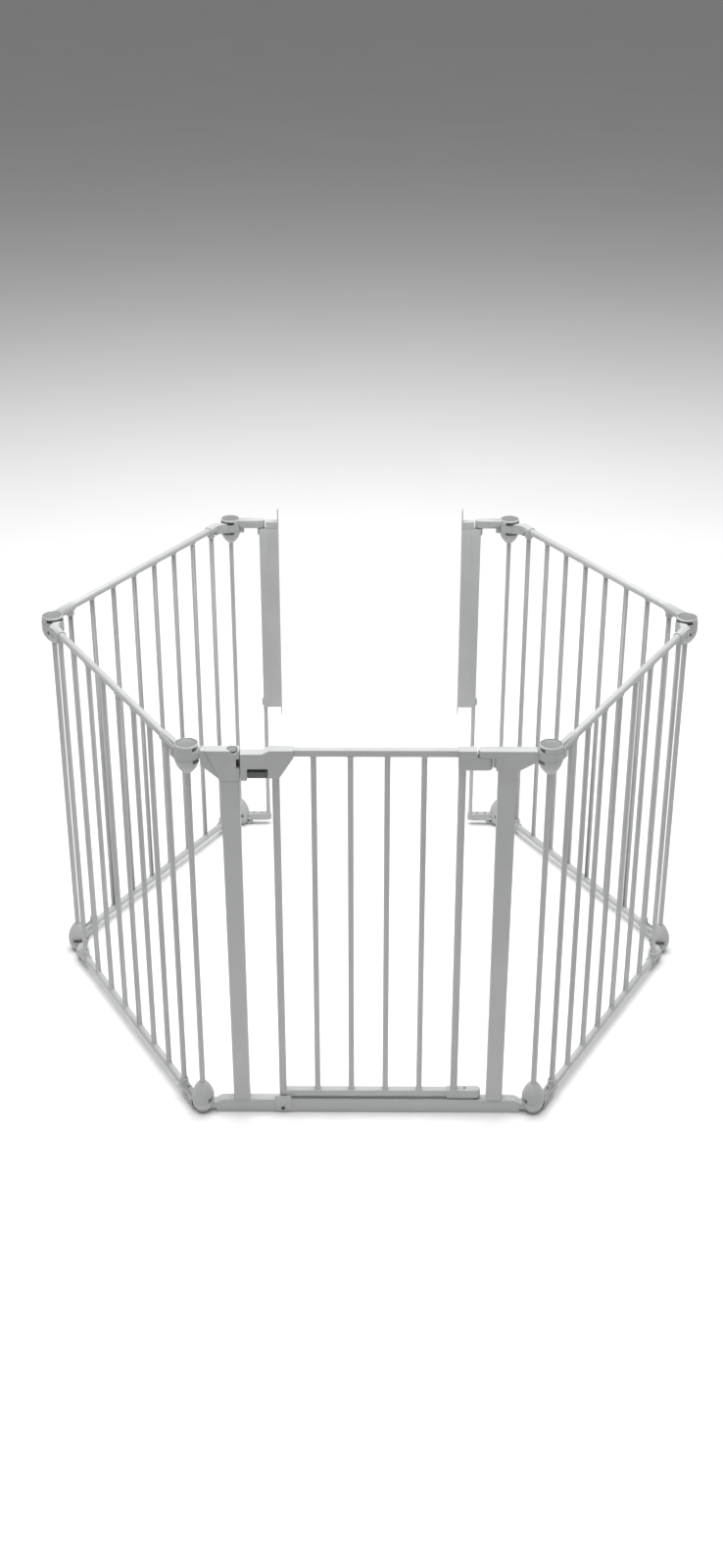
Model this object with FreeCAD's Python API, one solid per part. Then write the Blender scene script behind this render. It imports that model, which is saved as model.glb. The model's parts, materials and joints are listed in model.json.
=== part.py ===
"""Five-section hearth gate for keeping a child in or out, standing as a six-sided pen.

Frame: X to the right along the doorway, Y away from the front, Z up, millimetres.
Origin: on the floor, under the middle of the doorway's threshold.

The front section holds a door between two posts. On each side two barred panels follow,
and then a short wall arm with a strip that is screwed to the wall. Every corner is a
knuckle: a cup at the top and a round foot at the bottom, on one upright hinge rod.
"""
import FreeCAD, Part

import math
import os
from FreeCAD import Vector

# ---- driving dimensions -------------------------------------------------------------
GATE_PITCH = 601.4          # between the two knuckle axes of the front section
PANEL_PITCH = 617.5         # between the two knuckle axes of a barred panel
FRONT_TURN = 60.7           # degrees the line of panels turns at the front knuckles
MIDDLE_TURN = 58.6          # and at the middle ones; the wall arms then lie along X
TOP_Z = 750.0               # rim of the cups

RAIL_OFFSET = 12.0          # panel rails lie outside the line between knuckle axes
RAIL_R = 7.0
RAIL_WALL = 1.2
RAIL_TOP_Z = 739.2
RAIL_LOW_Z = 20.6
RAIL_FROM, RAIL_SHORT = 26.0, 40.0  # rail ends, past the cup's axis and short of the next
BAR_R = 4.9
BAR_WALL = 1.0
BAR_COUNT = 8
FIRST_BAR_FRONT, FIRST_BAR_REAR = 57.0, 68.4    # from the cup's axis to the first bar
BAR_PITCH = 70.2

CUP_R = 21.2                # widest radius of the cup
CUP_LOW_Z, CUP_WIDE_Z = 696.5, 727.0
RING_LOW_R, RING_TOP_R = 20.6, 19.6         # the ring above the hub narrows upwards
SLOT_LOW_Z, SLOT_HIGH_Z = 724.4, 740.0      # layer of the cup that the next hub fills
NECK_TOP = (724.8, 735.6)   # heights of the neck that leaves this hub
CUP_ROOM = (717.5, 746.4)   # heights of the opening round the neck
CUP_FLOOR_Z = 741.6         # floor of the well that the button sits in
FOOT_R = 20.8
FOOT_WIDE_Z = 26.0
FOOT_HIGH_Z = 62.0
FOOT_FLAT_R = 11.0
FOOT_SLOT_LOW_Z, FOOT_SLOT_HIGH_Z = 7.6, 24.4
NECK_LOW = (9.6, 20.4)
FOOT_ROOM = (5.4, 33.5)
ROOM_FROM, ROOM_TO = 184.0, 297.0   # the openings, degrees from the own panel
ROOM_R = 13.0               # how near the axis they reach
ROD_R = 5.0                 # hinge rod between cup and foot
ROD_COLLAR = 1.8            # cup and foot end this much wider than the rod
PIN_R = 3.8                 # its thin ends, which the hubs turn on
PIN_SUNK = 4.0              # length of the lower pin below its slot
RUN_CLEAR = 0.05            # radial running clearance of a hub on its pin
SLOT_GAP = 0.4              # hub to slot, above and below
HUB_GAP = 0.6               # hub's rim to the socket beside it
NECK_HALF = 8.0             # half width of the neck
KNEE_FROM, KNEE_TO = 24.0, 48.0     # knee between neck and rail, back from the hub's axis
SLEEVE_R = 9.4              # sockets that take the rail ends
SLEEVE_FROM = 6.0           # where a socket starts inside the cup or foot
SLEEVE_PAST_BAR = 9.0
BOSS_R = 8.0                # socket round the bar nearest a knuckle
BOSS_DROP = 17.0            # how far a boss reaches past the rail's axis
WEB = (8.0, 29.0, 5.0, 18.5)        # plan of the web that joins a socket round the hub
WEB_ROUND = 2.0
WEB_TOP_Z = (718.5, 734.0)
WEB_LOW_Z = (1.6, 15.0)
WALL_WEB_HALF = 5.5
RECESS_R, RECESS_DEEP = 2.6, 3.5    # screw recesses
SIDE_SCREW_R, SIDE_SCREW_Z = 1.9, 737.6

BUTTON_R, BUTTON_THICK, BUTTON_TOP_Z = 17.8, 3.4, 749.4
WELL_R = 18.2

WALL_HINGE_ROD_R = 4.6      # slightly thinner hinge rod of the last knuckles
ARM_REACH = 65.8            # wall arm, knuckle axis to the wall strip's rod
ARM_TOP = (730.0, 748.0, 9.2)       # heights and half depth of the upper arm
ARM_LOW = (11.6, 28.6, 7.6)         # and of the lower one
WALL_ROD_R = 4.5
STRIP_T = 2.0
STRIP_WEB = 40.0            # the face that hides the rod
STRIP_FLANGE = 24.0         # the face that lies on the wall
STRIP_AHEAD = 12.0          # the web's front face, ahead of the rod's axis
STRIP_PAST_ROD = 3.0
STRIP_LOW_Z, STRIP_HIGH_Z = 306.0, 728.4
EAR = 22.0                  # flange beyond the ends of the web
EAR_TOP_Z = 770.0
SCREW_R = 2.5
SCREW_COUNT = 4

SECTION_HALF = 10.5         # half depth of the gate's plastic covers
COVER_TOP_Z = 739.7
COVER_LOW_Z = 684.5
POST_INNER, POST_OUTER_LOW, POST_OUTER_TOP = 214.7, 243.7, 246.4
POST_HALF = 10.0
POST_WALL = 1.5
THRESHOLD_H, THRESHOLD_HALF, THRESHOLD_END = 28.5, 9.0, 277.0

DOOR_MID_X = 0.6
DOOR_BAR_PITCH = 61.3
DOOR_STILE_HALF = 155.0     # from the door's middle to a stile
DOOR_TUBE_R = 6.5
DOOR_RAIL_TOP = (727.0, 740.0)
DOOR_RAIL_LOW = (36.0, 48.0)
DOOR_RAIL_HALF = 7.0
HINGE_X = 196.0
THUMB_TRAVEL = 3.0

LATCH_STILE_X = DOOR_MID_X - DOOR_STILE_HALF
HINGE_STILE_X = DOOR_MID_X + DOOR_STILE_HALF
DROP_BOLT_R, DROP_HOLE_R = 3.0, 3.5
PIN_HOLE_DEEP = 12.0        # holes in the threshold for the drop bolt and the lower pin
THUMB_X, THUMB_Y = -225.5, 0.5
THUMB_WELL_R, THUMB_WELL_Z = 9.0, COVER_TOP_Z - 8.0
THUMB_R = 8.5
HOOK_REACH, HOOK_Z = 15.0, 727.2    # the hinge cover's hook over the upper hinge
RIB_REACH, RIB_HALF = 10.3, 5.0     # rib of the hinge cover that fills the gap at the hinge
LOW_BLOCK = (32.0, 49.0)    # heights of the door's hinge blocks
UP_BLOCK = (703.5, HOOK_Z - 0.5)
LOW_BLOCK_X = 143.0
CATCH_SIDE, CATCH_TOP_Z, CATCH_T = 15.0, 37.0, 1.6
CATCH_SCREW_Z, CATCH_SCREW_R, CATCH_HEAD_R = 10.0, 2.0, 3.2

SEAM_X = 270.0              # where the slanting seam of the covers meets the top
GUSSET_HALF, GUSSET_RISE = 9.3, 29.0
POST_LIP = 1.1              # how far a cover overhangs its post
NOTCH_X, NOTCH_Z = -219.0, (708.0, 725.0)
SCOOP_R = 7.0               # finger scoop in front of the thumb button

HANDLE_X = (-212.3, -124.0)
HANDLE_STEP_X = (-177.0, -164.0)
HANDLE_FOOT_X, HANDLE_ARM_X = -201.6, -148.0
HANDLE_END_Z, HANDLE_TOP_Z = 733.6, 740.2
HANDLE_FOOT_Z, HANDLE_LOW_Z = 684.8, 689.3
HANDLE_ROOM_X, HANDLE_ROOM_Z = (-209.0, -150.0), (707.6, 730.0)
TRIGGER_X, TRIGGER_Z = (-200.8, -167.4), (689.5, 700.4)
LIFTER_X, LIFTER_TOP_Z, LIFTER_HALF = (-190.0, -178.0), 709.0, 4.0
BOLT_X, BOLT_STEP_X = (-217.8, -172.0), -200.0
BOLT_Z, BOLT_TAIL_Z, BOLT_HALF = (710.0, 723.0), 715.0, 3.0
DROP_BOLT_SUNK, DROP_BOLT_TOP_Z = 8.0, 120.0

FAR = 20.0                  # half depth of cuts that go right through the gate section
NEAR = 0.01                 # tolerance for picking edges by their place

Z = Vector(0, 0, 1)
parts = {}


# ---- shape helpers ------------------------------------------------------------------
def cylinder(radius, low, high, x=0.0, y=0.0):
    """Upright cylinder between two heights."""
    return Part.makeCylinder(radius, high - low, Vector(x, y, low), Z)


def tube(radius, wall, low, high, x=0.0, y=0.0):
    """Upright tube between two heights."""
    return cylinder(radius, low, high, x, y).cut(cylinder(radius - wall, low, high, x, y))


def block(x0, x1, y0, y1, z0, z1):
    """Box between two corners."""
    return Part.makeBox(x1 - x0, y1 - y0, z1 - z0, Vector(x0, y0, z0))


def slab(points, low, high):
    """Plan outline of (x, y) points, raised from low to high."""
    loop = Part.makePolygon([Vector(x, y, low) for x, y in points + points[:1]])
    return Part.Face(loop).extrude(Vector(0, 0, high - low))


def plate(points, y0, y1):
    """Front outline of (x, z) points, given a depth from y0 to y1."""
    loop = Part.makePolygon([Vector(x, y0, z) for x, z in points + points[:1]])
    return Part.Face(loop).extrude(Vector(0, y1 - y0, 0))


def soften(shape, radius, wanted):
    """Rounds the edges that wanted(edge) picks."""
    edges = [edge for edge in shape.Edges if wanted(edge)]
    return shape.makeFillet(radius, edges) if edges else shape


def along(edge, axis):
    """True for a straight edge that runs along a unit axis."""
    if edge.Curve.TypeId != "Part::GeomLine":
        return False
    return abs(abs(edge.tangentAt(edge.FirstParameter).dot(axis)) - 1.0) < 1e-6


def across(radius, start, stop, x, z):
    """Cylinder that lies from front to back."""
    return Part.makeCylinder(radius, stop - start, Vector(x, start, z), Vector(0, 1, 0))


def sector(radius, low, high, start, stop):
    """Slice of a cylinder between two angles in degrees."""
    piece = Part.makeCylinder(radius, high - low, Vector(0, 0, low), Z, stop - start)
    piece.rotate(Vector(0, 0, 0), Z, start)
    return piece


def spun(edges):
    """Solid turned about Z from the edges of a half outline in the XZ plane."""
    return Part.Face(Part.Wire(edges)).revolve(Vector(0, 0, 0), Z, 360)


def line(a, b):
    """Straight edge between two (radius, z) points."""
    return Part.LineSegment(Vector(a[0], 0, a[1]), Vector(b[0], 0, b[1])).toShape()


def side_arc(wide, end):
    """Arc that leaves the widest (radius, z) point upright and ends at another."""
    rise = end[1] - wide[1]
    centre = (wide[0] ** 2 - end[0] ** 2 - rise ** 2) / (2.0 * (wide[0] - end[0]))
    radius = wide[0] - centre
    half = 0.5 * math.asin(abs(rise) / radius)
    middle = Vector(centre + radius * math.cos(half), 0,
                    wide[1] + math.copysign(radius * math.sin(half), rise))
    return Part.Arc(Vector(wide[0], 0, wide[1]), middle, Vector(end[0], 0, end[1])).toShape()


def lying_tube(start, stop, offset, z, radius, wall):
    """Tube along the section, beside its line; a wall of zero makes it solid."""
    length = stop - start
    base = Vector(start, offset, z)
    outer = Part.makeCylinder(radius, length, base, Vector(1, 0, 0))
    if wall <= 0:
        return outer
    return outer.cut(Part.makeCylinder(radius - wall, length, base, Vector(1, 0, 0)))


# ---- one knuckle, on its own axis, with its own section along +X ---------------------
def slot_cut(low, high, room):
    """Layer that the next section's hub fills, and the opening round its neck."""
    opening = sector(CUP_R + HUB_GAP, room[0], room[1], ROOM_FROM, ROOM_TO)
    opening = opening.cut(cylinder(ROOM_R, room[0], room[1]))
    return cylinder(CUP_R + HUB_GAP, low, high).fuse(opening)


def cup():
    """Top of a knuckle: a bowl and, above the hub's layer, a ring with the button's well."""
    waist, lip = ROD_R + ROD_COLLAR, 0.6
    bowl = spun([line((0, CUP_LOW_Z), (waist, CUP_LOW_Z)),
                 side_arc((CUP_R, CUP_WIDE_Z), (waist, CUP_LOW_Z)),
                 line((CUP_R, CUP_WIDE_Z), (CUP_R, SLOT_HIGH_Z)),
                 line((CUP_R, SLOT_HIGH_Z), (RING_LOW_R, SLOT_HIGH_Z)),
                 line((RING_LOW_R, SLOT_HIGH_Z), (RING_TOP_R, TOP_Z - lip)),
                 line((RING_TOP_R, TOP_Z - lip), (RING_TOP_R - lip, TOP_Z)),
                 line((RING_TOP_R - lip, TOP_Z), (0, TOP_Z)),
                 line((0, TOP_Z), (0, CUP_LOW_Z))])
    return bowl.cut(cylinder(WELL_R, CUP_FLOOR_Z, TOP_Z + 1))


def foot():
    """Bottom of a knuckle: an egg-shaped foot that stands on the floor."""
    waist = ROD_R + ROD_COLLAR
    return spun([line((0, 0), (FOOT_FLAT_R, 0)),
                 side_arc((FOOT_R, FOOT_WIDE_Z), (FOOT_FLAT_R, 0)),
                 side_arc((FOOT_R, FOOT_WIDE_Z), (waist, FOOT_HIGH_Z)),
                 line((waist, FOOT_HIGH_Z), (0, FOOT_HIGH_Z)),
                 line((0, FOOT_HIGH_Z), (0, 0))])


def hub(profile, low, high):
    """Disc between the two halves of a cup or foot, flush with them all round."""
    return profile.common(cylinder(2 * CUP_R, low + SLOT_GAP, high - SLOT_GAP))


def hinge_rod(radius=ROD_R):
    """Upright rod of a knuckle, with a thin pin at each end for the next section's hubs."""
    rod = cylinder(radius, FOOT_SLOT_HIGH_Z, SLOT_LOW_Z)
    rod = rod.fuse(cylinder(PIN_R, FOOT_SLOT_LOW_Z - PIN_SUNK, FOOT_SLOT_HIGH_Z))
    return rod.fuse(cylinder(PIN_R, SLOT_LOW_Z, CUP_FLOOR_Z)).removeSplitter()


def button():
    """Round release button in the top of a cup."""
    disc = cylinder(BUTTON_R, BUTTON_TOP_Z - BUTTON_THICK, BUTTON_TOP_Z)
    return soften(disc, 0.8, lambda edge: edge.BoundBox.ZMin > BUTTON_TOP_Z - 0.01
                  and edge.BoundBox.ZMax < BUTTON_TOP_Z + 0.01
                  and edge.Curve.TypeId == "Part::GeomCircle")


def sleeve(start, stop, z, boss_at, boss_sign):
    """Socket round a rail end, with a boss for the bar that meets it."""
    body = lying_tube(start, stop, RAIL_OFFSET, z, SLEEVE_R, 0)
    body = soften(body, 1.5, lambda edge: edge.Curve.TypeId == "Part::GeomCircle")
    low, high = sorted((z, z + boss_sign * BOSS_DROP))
    boss = cylinder(BOSS_R, low, high, boss_at, RAIL_OFFSET)
    tip = high if boss_sign > 0 else low
    boss = soften(boss, 2.0, lambda edge: abs(edge.BoundBox.ZMin - tip) < NEAR
                  and abs(edge.BoundBox.ZMax - tip) < NEAR)
    return body.fuse(boss)


def bar_positions(first_bar):
    """Distances of a panel's bars from its cup axis."""
    return [first_bar + BAR_PITCH * n for n in range(BAR_COUNT)]


def rails_solid():
    """Both rails of a panel as full cylinders, for cutting."""
    stop = PANEL_PITCH - RAIL_SHORT
    return [lying_tube(RAIL_FROM, stop, RAIL_OFFSET, z, RAIL_R, 0) for z in (RAIL_LOW_Z, RAIL_TOP_Z)]


def screw_recesses(z):
    """Two screw recesses in a lower socket, one from above and one from outside."""
    deep = SLEEVE_R - RECESS_DEEP
    top = cylinder(RECESS_R, z + deep, z + SLEEVE_R + 2, 38.0, RAIL_OFFSET)
    start = RAIL_OFFSET + deep
    return top.fuse(across(RECESS_R, start, start + 2 * RECESS_DEEP, 30.0, z))


def own_head(body, extra, layer, room, rod_r=ROD_R):
    """Finishes a cup or foot: adds its socket, then cuts the hub's layer and the rod's room."""
    body = body.fuse(extra)
    body = body.cut(slot_cut(layer[0], layer[1], room))
    return body.cut(hinge_rod(rod_r)).removeSplitter()


def socket_web(plan, heights):
    """Web that leads a socket round the outside of the hub's layer."""
    return soften(block(*plan, *heights), WEB_ROUND, lambda edge: True)


def lug(profile, layer, neck, z_low, z_high):
    """Far end of a section: the hub with its neck, and the knee that leads to the rail."""
    bar = block(-KNEE_FROM - 2.0, 0.0, -NECK_HALF, NECK_HALF, *neck)
    disc = hub(profile, *layer).fuse(bar).cut(cylinder(PIN_R + RUN_CLEAR, *layer))
    outer = RAIL_OFFSET + SLEEVE_R - 0.6
    inner = RAIL_OFFSET - SLEEVE_R + 0.6
    knee = slab([(-KNEE_FROM, -NECK_HALF), (-KNEE_FROM, NECK_HALF + 1.0), (-38.0, outer),
                 (-KNEE_TO, outer), (-KNEE_TO, inner), (-40.0, inner)], z_low, z_high)
    return disc.removeSplitter(), soften(knee, 2.0, lambda edge: not along(edge, Z)), bar


def panel(first_bar):
    """The seven parts of one barred panel, cup axis at the origin, panel along +X."""
    far = PANEL_PITCH
    solids = rails_solid()
    rails = [lying_tube(RAIL_FROM, far - RAIL_SHORT, RAIL_OFFSET, z, RAIL_R, RAIL_WALL)
             for z in (RAIL_LOW_Z, RAIL_TOP_Z)]
    positions = bar_positions(first_bar)
    near_bar, far_bar = positions[0], positions[-1]
    bars = []
    bar_cores = []
    for at in positions:
        core = cylinder(BAR_R, RAIL_LOW_Z, RAIL_TOP_Z, at, RAIL_OFFSET)
        core = core.cut(solids[0]).cut(solids[1])
        bar_cores.append(core)
        bars.append(core.cut(cylinder(BAR_R - BAR_WALL, RAIL_LOW_Z, RAIL_TOP_Z, at, RAIL_OFFSET)))
    cores = [bar_cores[0], bar_cores[-1]] + solids
    keep_out = cylinder(WELL_R, CUP_FLOOR_Z, TOP_Z + 1)
    top_layer, low_layer = (SLOT_LOW_Z, SLOT_HIGH_Z), (FOOT_SLOT_LOW_Z, FOOT_SLOT_HIGH_Z)

    socket_end = near_bar + SLEEVE_PAST_BAR
    top_socket = sleeve(SLEEVE_FROM, socket_end, RAIL_TOP_Z, near_bar, -1).cut(keep_out)
    top_socket = top_socket.fuse(socket_web(WEB, WEB_TOP_Z))
    head = own_head(cup(), top_socket, top_layer, CUP_ROOM)
    socket_side = RAIL_OFFSET + SLEEVE_R
    head = head.cut(across(SIDE_SCREW_R, socket_side - RECESS_DEEP, socket_side + 1, 15.0, SIDE_SCREW_Z))
    low_socket = sleeve(SLEEVE_FROM, socket_end, RAIL_LOW_Z, near_bar, 1)
    low_socket = low_socket.fuse(socket_web(WEB, WEB_LOW_Z))
    base = own_head(foot(), low_socket, low_layer, FOOT_ROOM)
    base = base.cut(screw_recesses(RAIL_LOW_Z))

    lugs = []
    for z, sign, profile, layer, neck, z_low, z_high in (
            (RAIL_TOP_Z, -1, cup(), top_layer, NECK_TOP, NECK_TOP[0], 746.0),
            (RAIL_LOW_Z, 1, foot(), low_layer, NECK_LOW, 8.0, 28.0)):
        disc, knee, bar = lug(profile, layer, neck, z_low, z_high)
        for piece in (disc, knee, bar):
            piece.translate(Vector(far, 0, 0))
        socket = sleeve(far_bar - 11.0, far - 36.0, z, far_bar, sign)
        lugs += [disc, knee.fuse(socket).cut(bar)]

    for cutter in cores:
        head = head.cut(cutter)
        base = base.cut(cutter)
        lugs = [end.cut(cutter) for end in lugs]
    return {"rails": rails, "bars": bars, "cup": [head], "foot": [base],
            "hinge_rod": [hinge_rod()], "end_lugs": [end.removeSplitter() for end in lugs],
            "button": [button()]}


# ---- wall arm and wall strip, knuckle axis at the origin, arm along +X ---------------
def wall_arm():
    """Short arm beyond the last knuckle, with the rod that carries the wall strip."""
    rod = cylinder(WALL_ROD_R, ARM_LOW[0] + 4.0, ARM_TOP[1] - 3.0, ARM_REACH)
    heads = []
    for body, layer, room, web, (z0, z1, half) in (
            (cup(), (SLOT_LOW_Z, SLOT_HIGH_Z), CUP_ROOM, WEB_TOP_Z, ARM_TOP),
            (foot(), (FOOT_SLOT_LOW_Z, FOOT_SLOT_HIGH_Z), FOOT_ROOM, WEB_LOW_Z, ARM_LOW)):
        beam = slab([(6.0, -half), (ARM_REACH - 9.0, -half), (ARM_REACH, -half + 1.0),
                     (ARM_REACH, half - 1.0), (ARM_REACH - 9.0, half), (6.0, half)], z0, z1)
        beam = beam.fuse(cylinder(half - 1.0, z0, z1, ARM_REACH)).removeSplitter()
        beam = soften(beam, 2.5, lambda edge: min(abs(edge.CenterOfMass.z - z0),
                                                  abs(edge.CenterOfMass.z - z1)) < NEAR)
        if z1 > RAIL_TOP_Z:
            beam = beam.cut(cylinder(WELL_R, CUP_FLOOR_Z, TOP_Z + 1))
        else:
            beam = beam.cut(cylinder(RECESS_R, z1 - RECESS_DEEP, z1 + 1, 32.0))
            beam = beam.cut(cylinder(RECESS_R, z1 - RECESS_DEEP, z1 + 1, 50.0))
        beam = beam.fuse(socket_web((WEB[0], WEB[1], -WALL_WEB_HALF, WALL_WEB_HALF), web))
        head = own_head(body, beam, layer, room, WALL_HINGE_ROD_R)
        heads.append(head.cut(rod))
    return {"cup": [heads[0]], "foot": [heads[1]], "hinge_rod": [hinge_rod(WALL_HINGE_ROD_R)],
            "rod": [rod], "button": [button()]}


def screw_heights():
    """Heights of the screws that hold a strip to the wall, evenly spaced ear to ear."""
    low, high = STRIP_LOW_Z - EAR / 2.0, EAR_TOP_Z - EAR / 2.0
    return [low + (high - low) * n / (SCREW_COUNT - 1) for n in range(SCREW_COUNT)]


def wall_strip():
    """Angle strip round the rod, with its two brackets."""
    web_y = -STRIP_AHEAD
    x0 = ARM_REACH - STRIP_PAST_ROD
    x1 = x0 + STRIP_WEB
    web = block(x0, x1, web_y, web_y + STRIP_T, STRIP_LOW_Z, STRIP_HIGH_Z)
    back_y, ear_y = web_y + STRIP_FLANGE, web_y + 9.0
    low_z, high_z = STRIP_LOW_Z - EAR, EAR_TOP_Z
    outline = Part.makePolygon([Vector(x1 - STRIP_T, y, z) for y, z in (
        (web_y, STRIP_LOW_Z), (web_y, STRIP_HIGH_Z), (ear_y, STRIP_HIGH_Z + 14.0),
        (ear_y, high_z), (back_y, high_z), (back_y, low_z), (ear_y, low_z),
        (ear_y, STRIP_LOW_Z - 12.0), (web_y, STRIP_LOW_Z))])
    flange = Part.Face(outline).extrude(Vector(STRIP_T, 0, 0))
    strip = web.fuse(flange).removeSplitter()
    screw_y = (ear_y + back_y) / 2.0
    for z in screw_heights():
        strip = strip.cut(Part.makeCylinder(SCREW_R, 3 * STRIP_T, Vector(x1 - 2 * STRIP_T, screw_y, z),
                                            Vector(1, 0, 0)))
    strip = soften(strip, 1.2, lambda edge: along(edge, Z)
                   and abs(edge.CenterOfMass.x - x1) < NEAR and abs(edge.CenterOfMass.y - web_y) < NEAR)
    brackets = []
    for low, high in ((STRIP_HIGH_Z - 14.0, STRIP_HIGH_Z), (STRIP_LOW_Z + 2.0, STRIP_LOW_Z + 16.0)):
        arm = block(ARM_REACH, x1 - STRIP_T, web_y + STRIP_T, 5.0, low, high)
        bracket = arm.fuse(cylinder(8.0, low, high, ARM_REACH))
        if high == STRIP_HIGH_Z:
            bracket = bracket.fuse(block(ARM_REACH + 10.6, x1 - STRIP_T, web_y + STRIP_T, 5.0,
                                         high, ARM_TOP[1] - 3.0))
        bracket = bracket.cut(cylinder(WALL_ROD_R + RUN_CLEAR, low, high, ARM_REACH))
        brackets.append(bracket.removeSplitter())
    return {"strip": [strip], "strip_brackets": brackets}


# ---- front section --------------------------------------------------------------------
def post():
    """Left-hand post, a tapered steel box tube; the right one is its mirror image."""
    def loop(inset, z, outer):
        x0, x1 = -outer + inset, -POST_INNER - inset
        y = POST_HALF - inset
        return Part.makePolygon([Vector(px, py, z) for px, py in
                                 ((x0, -y), (x1, -y), (x1, y), (x0, y), (x0, -y))])
    ends = ((THRESHOLD_H, POST_OUTER_LOW), (COVER_LOW_Z, POST_OUTER_TOP))
    outer = Part.makeLoft([loop(0.0, z, x) for z, x in ends], True)
    inner = Part.makeLoft([loop(POST_WALL, z, x) for z, x in ends], True)
    outer = soften(outer, 3.0, lambda edge: edge.BoundBox.ZLength > 100.0)
    return outer.cut(inner)


def gate_hub(side, profile, layer, neck, reach):
    """Hub of the front section round a front knuckle's pin, with its neck."""
    x = side * GATE_PITCH / 2.0
    disc = hub(profile, *layer)
    disc.translate(Vector(x, 0, 0))
    x0, x1 = sorted((x, x - side * reach))
    bar = block(x0, x1, -NECK_HALF, NECK_HALF, *neck)
    return disc.fuse(bar).cut(cylinder(PIN_R + RUN_CLEAR, *layer, x))


def threshold():
    """Bar across the doorway that both posts stand on, with a hub at each end."""
    end, high = THRESHOLD_END, THRESHOLD_H
    bar = plate([(-end, 3.0), (-end + 4.0, 0.0), (end - 4.0, 0.0), (end, 3.0), (end, high - 8.0),
                 (end - 10.0, high - 2.0), (end - 24.0, high), (-end + 24.0, high),
                 (-end + 10.0, high - 2.0), (-end, high - 8.0)], -THRESHOLD_HALF, THRESHOLD_HALF)
    bar = soften(bar, 1.5, lambda edge: along(edge, Vector(1, 0, 0)) and edge.CenterOfMass.z > high - 1)
    for side in (-1, 1):
        bar = bar.fuse(gate_hub(side, foot(), (FOOT_SLOT_LOW_Z, FOOT_SLOT_HIGH_Z), NECK_LOW, 40.0))
    hole_floor = high - PIN_HOLE_DEEP
    bar = bar.cut(cylinder(DROP_HOLE_R, hole_floor, high + 1, LATCH_STILE_X))
    return bar.cut(cylinder(PIN_R, hole_floor, high + 1, HINGE_X)).removeSplitter()


def latch_cover():
    """Cover on the latch post, with the thumb button's well and the latch's notch."""
    right = POST_LIP - POST_INNER
    cover = plate([(-SEAM_X, COVER_TOP_Z), (right, COVER_TOP_Z), (right, COVER_LOW_Z),
                   (1.2 - POST_OUTER_TOP, COVER_LOW_Z)], -SECTION_HALF, SECTION_HALF)
    cover = soften(cover, 1.2, lambda edge: abs(abs(edge.CenterOfMass.y) - SECTION_HALF) < NEAR
                   and edge.CenterOfMass.z > COVER_TOP_Z - 0.1)
    cover = cover.cut(cylinder(THUMB_WELL_R, THUMB_WELL_Z, COVER_TOP_Z + 1, THUMB_X, THUMB_Y))
    cover = cover.cut(across(SCOOP_R, -FAR, -0.5, THUMB_X + 3.0, COVER_TOP_Z + 1.5))
    return cover.cut(block(NOTCH_X, right + 1, -FAR, 4.0, *NOTCH_Z))


def latch_lug():
    """Gusset between the latch post's cover and the front left knuckle."""
    x0 = -GATE_PITCH / 2.0 + CUP_R + 1.0
    top = SLOT_HIGH_Z - SLOT_GAP
    gusset = plate([(x0, top), (-SEAM_X - SLOT_GAP, top), (SLOT_GAP * 2 - POST_OUTER_TOP, COVER_LOW_Z),
                    (x0, COVER_LOW_Z + GUSSET_RISE)], -GUSSET_HALF, GUSSET_HALF)
    end = gate_hub(-1, cup(), (SLOT_LOW_Z, SLOT_HIGH_Z), NECK_TOP, 23.0)
    return gusset.fuse(end).removeSplitter()


def hinge_cover():
    """Cover on the hinge post: a hook over the door's upper hinge, and the right hub."""
    x0, x1 = POST_INNER - 3.5, POST_OUTER_TOP + 2.5
    end = GATE_PITCH / 2.0 - CUP_R - 1.0
    low = COVER_LOW_Z + 19.0
    hook = HINGE_X - HOOK_REACH
    half = SECTION_HALF - 0.7
    body = plate([(hook, COVER_TOP_Z), (end, SLOT_HIGH_Z - SLOT_GAP), (end, low + 17.0), (x1, low),
                  (x0, low), (x0, HOOK_Z), (hook, HOOK_Z)], -half, half)
    nose_room = block(hook - HOOK_REACH, HINGE_X, -FAR, FAR, HOOK_Z - 1, COVER_TOP_Z + 1)
    body = body.cut(nose_room.cut(cylinder(HOOK_REACH, HOOK_Z - 1, COVER_TOP_Z + 1, HINGE_X)))
    body = body.fuse(block(POST_INNER, x1 - 2.0, -POST_HALF, POST_HALF, COVER_LOW_Z, low + 2.0))
    body = body.fuse(block(HINGE_X + RIB_REACH, x0, -RIB_HALF, RIB_HALF, low + 4.0, HOOK_Z))
    body = body.fuse(gate_hub(1, cup(), (SLOT_LOW_Z, SLOT_HIGH_Z), NECK_TOP, 23.0))
    return body.cut(cylinder(PIN_R, HOOK_Z - 1, COVER_TOP_Z - 3.0, HINGE_X)).removeSplitter()


def catch_plate():
    """Steel catch on the threshold's front, which the drop bolt's foot rests behind."""
    front = -THRESHOLD_HALF
    face = block(LATCH_STILE_X - CATCH_SIDE, LATCH_STILE_X + CATCH_SIDE, front - CATCH_T, front,
                 4.5, CATCH_TOP_Z)
    face = soften(face, 3.0, lambda edge: along(edge, Vector(0, 1, 0)))
    return face.cut(across(CATCH_SCREW_R, front - FAR, front + 1.0, LATCH_STILE_X, CATCH_SCREW_Z))


def catch_screw():
    """Screw through the catch plate."""
    seat = -THRESHOLD_HALF - CATCH_T
    head = across(CATCH_HEAD_R, seat - 1.0, seat, LATCH_STILE_X, CATCH_SCREW_Z)
    return head.fuse(across(CATCH_SCREW_R, seat, seat + CATCH_T, LATCH_STILE_X, CATCH_SCREW_Z))


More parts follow.
